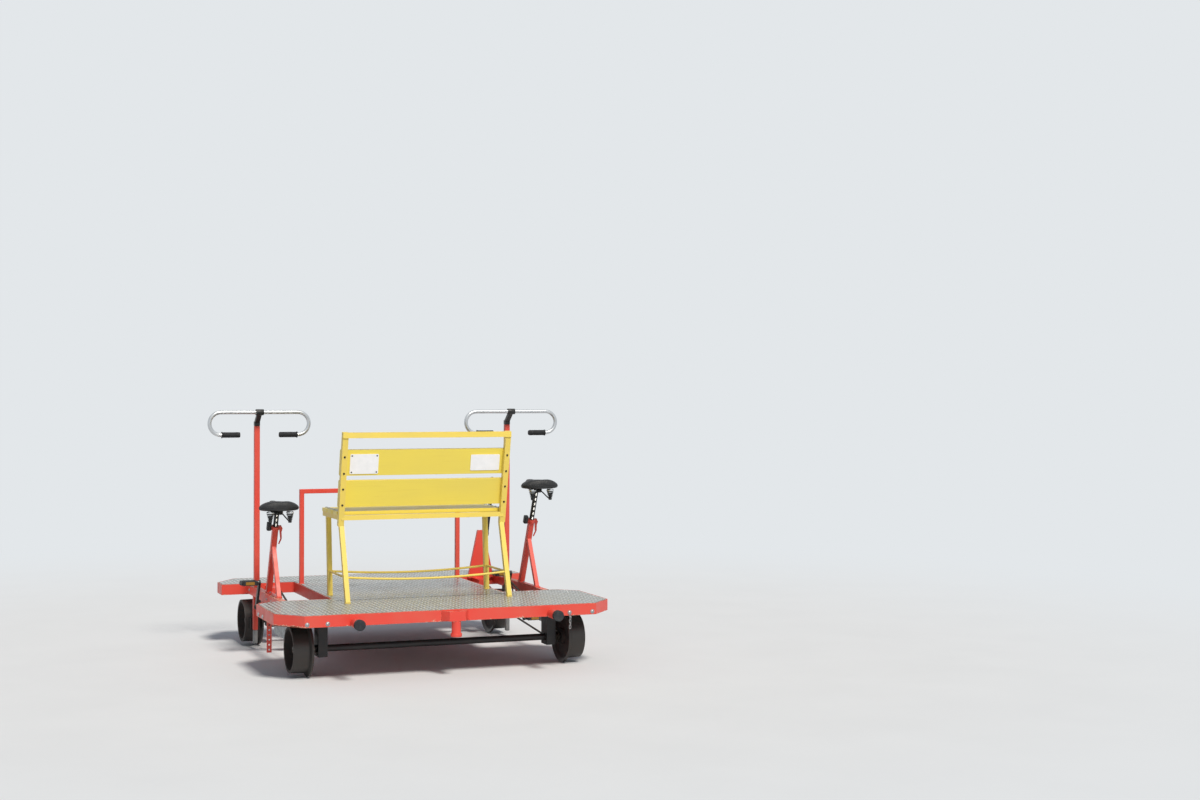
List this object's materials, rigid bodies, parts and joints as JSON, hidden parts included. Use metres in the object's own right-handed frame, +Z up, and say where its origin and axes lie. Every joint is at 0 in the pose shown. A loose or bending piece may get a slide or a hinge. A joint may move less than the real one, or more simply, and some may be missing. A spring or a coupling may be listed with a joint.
{
  "type": "pedal-driven rail handcar",
  "caption": "Open railway handcar on flanged wheels, driven by pedals from side saddles with handlebars, with a passenger bench on a flat deck.",
  "frame": {"origin": "on the floor plane through the flange bottoms, under the middle of the deck and midway between the axles", "axes": "+Z up, +Y the way it drives, +X to the right, along the axles"},
  "size_m": [2.0696, 2.05, 1.355],
  "materials": {
    "red_enamel": "bright red enamel, worn",
    "yellow_enamel": "yellow enamel, chipped",
    "yellow_wood": "yellow painted board, chipped edges",
    "chequer_plate": "weathered aluminium chequer plate",
    "black_rubber": "black rubber",
    "black_saddle_vinyl": "black vinyl cover",
    "black_plastic": "black plastic",
    "black_steel": "black painted steel, worn at the edges",
    "polished_steel": "polished steel",
    "zinc_steel": "zinc plated steel",
    "oiled_steel": "oiled roller chain",
    "wheel_steel": "dark rolled steel, tread worn bright",
    "white_plate": "white blank plate"
  },
  "bodies": {
    "trolley": {"frame": "red_enamel", "rear_deck_board": "chequer_plate", "centre_deck_board": "chequer_plate", "front_deck_board": "chequer_plate", "buffer_tubes": "red_enamel", "buffer_caps": "black_rubber", "tow_sockets": "red_enamel", "bench_frame": "yellow_enamel", "back_slats": "yellow_wood", "seat_slats": "yellow_wood", "bench_plates": "white_plate", "grab_hoop": "red_enamel", "brake_stand": "red_enamel", "guard_bar": "red_enamel", "saddle_stands": "red_enamel", "seat_clamps": "red_enamel", "clamp_knobs": "black_plastic", "brake_shoes": "black_steel", "stems": "black_steel", "seat_posts": "black_steel", "saddle_frames": "black_steel", "left_saddle": "black_saddle_vinyl", "right_saddle": "black_saddle_vinyl", "masts": "red_enamel", "rail_guards": "black_rubber", "handlebars": "polished_steel", "grips": "black_rubber", "bottom_brackets": "red_enamel", "chain_guards": "zinc_steel", "chains": "oiled_steel", "axle_boxes": "black_steel"},
    "rear_wheelset": {"rear_axle": "black_steel", "rear_wheels": "wheel_steel", "rear_cogs": "oiled_steel"},
    "front_wheelset": {"front_axle": "black_steel", "front_wheels": "wheel_steel"},
    "left_cranks": {"left_crankset": "black_steel", "left_chainring": "oiled_steel"},
    "right_cranks": {"right_crankset": "black_steel", "right_chainring": "oiled_steel"},
    "left_outer_pedal": {"left_outer_pedal": "black_plastic"},
    "left_inner_pedal": {"left_inner_pedal": "black_plastic"},
    "right_outer_pedal": {"right_outer_pedal": "black_plastic"},
    "right_inner_pedal": {"right_inner_pedal": "black_plastic"},
    "brake_lever": {"brake_lever": "black_steel"}
  },
  "joints": [
    {"name": "rear_wheelset_turn", "type": "hinge", "parent": "trolley", "child": "rear_wheelset", "pos_m": [0, -0.61, 0.141], "axis": [1, 0, 0], "continuous": true},
    {"name": "front_wheelset_turn", "type": "hinge", "parent": "trolley", "child": "front_wheelset", "pos_m": [0, 0.61, 0.141], "axis": [1, 0, 0], "continuous": true},
    {"name": "left_cranks_turn", "type": "hinge", "parent": "trolley", "child": "left_cranks", "pos_m": [-0.745, 0.17, 0.27], "axis": [1, 0, 0], "continuous": true},
    {"name": "left_outer_pedal_turn", "type": "hinge", "parent": "left_cranks", "child": "left_outer_pedal", "pos_m": [-0.855, 0.0875, 0.41289], "axis": [1, 0, 0], "continuous": true},
    {"name": "left_inner_pedal_turn", "type": "hinge", "parent": "left_cranks", "child": "left_inner_pedal", "pos_m": [-0.597, 0.2525, 0.12711], "axis": [1, 0, 0], "continuous": true},
    {"name": "right_cranks_turn", "type": "hinge", "parent": "trolley", "child": "right_cranks", "pos_m": [0.745, 0.17, 0.27], "axis": [1, 0, 0], "continuous": true},
    {"name": "right_outer_pedal_turn", "type": "hinge", "parent": "right_cranks", "child": "right_outer_pedal", "pos_m": [0.855, 0.2525, 0.12711], "axis": [1, 0, 0], "continuous": true},
    {"name": "right_inner_pedal_turn", "type": "hinge", "parent": "right_cranks", "child": "right_inner_pedal", "pos_m": [0.597, 0.0875, 0.41289], "axis": [1, 0, 0], "continuous": true},
    {"name": "brake_lever_pull", "type": "hinge", "parent": "trolley", "child": "brake_lever", "pos_m": [0.684, 0.602, 0.6], "axis": [1, 0, 0], "range_deg": [0, 25], "stiffness_Nm_per_rad": 4, "springref_deg": -17.19}
  ]
}
